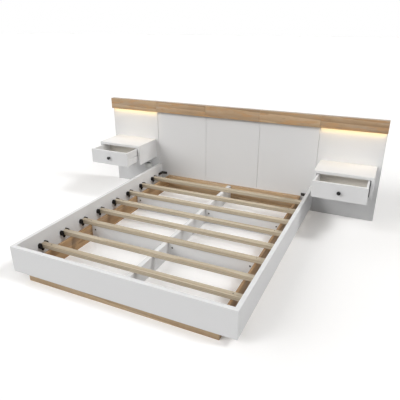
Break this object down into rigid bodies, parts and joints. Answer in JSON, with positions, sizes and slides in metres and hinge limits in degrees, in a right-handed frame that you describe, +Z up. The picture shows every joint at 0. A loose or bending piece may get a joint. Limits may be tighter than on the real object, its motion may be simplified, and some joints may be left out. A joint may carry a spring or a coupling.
{
  "type": "bed with attached nightstands",
  "caption": "Low double bed frame with a slatted base, a wide panelled headboard with a wooden band and light strips, and a hung nightstand with a drawer on each side.",
  "frame": {"origin": "on the floor, in the middle of the footprint: halfway between the two ends of the wooden band and halfway between the face of the footboard and the back of the headboard battens", "axes": "+X to the right seen from the foot, +Y from the foot to the head, +Z up"},
  "size_m": [2.7664, 2.076, 0.918],
  "materials": {
    "white_board": "white melamine-coated board, satin",
    "light_wood": "light oak-look veneer with long grain, matt",
    "slat_wood": "planed solid softwood, unvarnished",
    "batten_wood": "planed softwood",
    "dowel_wood": "turned beech",
    "drawer_lining": "warm grey-white coated board with a fine linen print",
    "black_plastic": "moulded black plastic, fine texture",
    "grey_plastic": "moulded light grey plastic",
    "dark_lens": "smooth dark window",
    "black_steel": "black powder coat",
    "dark_steel": "burnished steel",
    "aluminium_profile": "anodised",
    "led_tape": "flexible lamp tape",
    "led_diffuser": "milky diffuser, lit warm white"
  },
  "bodies": {
    "bed": {"footboard": "white_board", "left_side_rail": "white_board", "right_side_rail": "white_board", "foot_plinth": "light_wood", "left_base_board": "light_wood", "right_base_board": "light_wood", "head_base_board": "light_wood", "head_ledger": "light_wood", "centre_beam": "white_board", "foot_cross_panels": "white_board", "head_cross_panels": "white_board", "slat_1": "slat_wood", "slat_2": "slat_wood", "slat_3": "slat_wood", "slat_4": "slat_wood", "slat_5": "slat_wood", "slat_6": "slat_wood", "slat_7": "slat_wood", "slat_8": "slat_wood", "slat_holders": "black_plastic", "slat_screws": "dark_steel", "cam_fittings": "dark_steel", "corner_braces": "black_steel", "pan_screws": "dark_steel", "dowels": "dowel_wood", "panel_outer_left": "white_board", "panel_inner_left": "white_board", "panel_centre": "white_board", "panel_inner_right": "white_board", "panel_outer_right": "white_board", "band_outer_left": "light_wood", "band_inner_left": "light_wood", "band_centre": "light_wood", "band_inner_right": "light_wood", "band_outer_right": "light_wood", "seam_battens": "batten_wood", "led_channels": "aluminium_profile", "led_tapes": "led_tape", "led_diffusers": "led_diffuser", "sensor_housing": "grey_plastic", "sensor_lens": "dark_lens", "drawer_runners": "grey_plastic", "left_stand_top": "white_board", "left_stand_bottom": "white_board", "left_stand_sides": "white_board", "left_stand_back": "white_board", "right_stand_top": "white_board", "right_stand_bottom": "white_board", "right_stand_sides": "white_board", "right_stand_back": "white_board"},
    "left_drawer": {"left_drawer_front": "white_board", "left_drawer_sides": "white_board", "left_drawer_back": "drawer_lining", "left_drawer_bottom": "drawer_lining", "left_drawer_knob": "black_steel"},
    "right_drawer": {"right_drawer_front": "white_board", "right_drawer_sides": "white_board", "right_drawer_back": "drawer_lining", "right_drawer_bottom": "drawer_lining", "right_drawer_knob": "black_steel"}
  },
  "joints": [
    {"name": "left_drawer_slide", "type": "slide", "parent": "bed", "child": "left_drawer", "axis": [0, -1, 0], "range_m": [-0.182, 0.03]},
    {"name": "right_drawer_slide", "type": "slide", "parent": "bed", "child": "right_drawer", "axis": [0, -1, 0], "range_m": [-0.182, 0.03]}
  ]
}
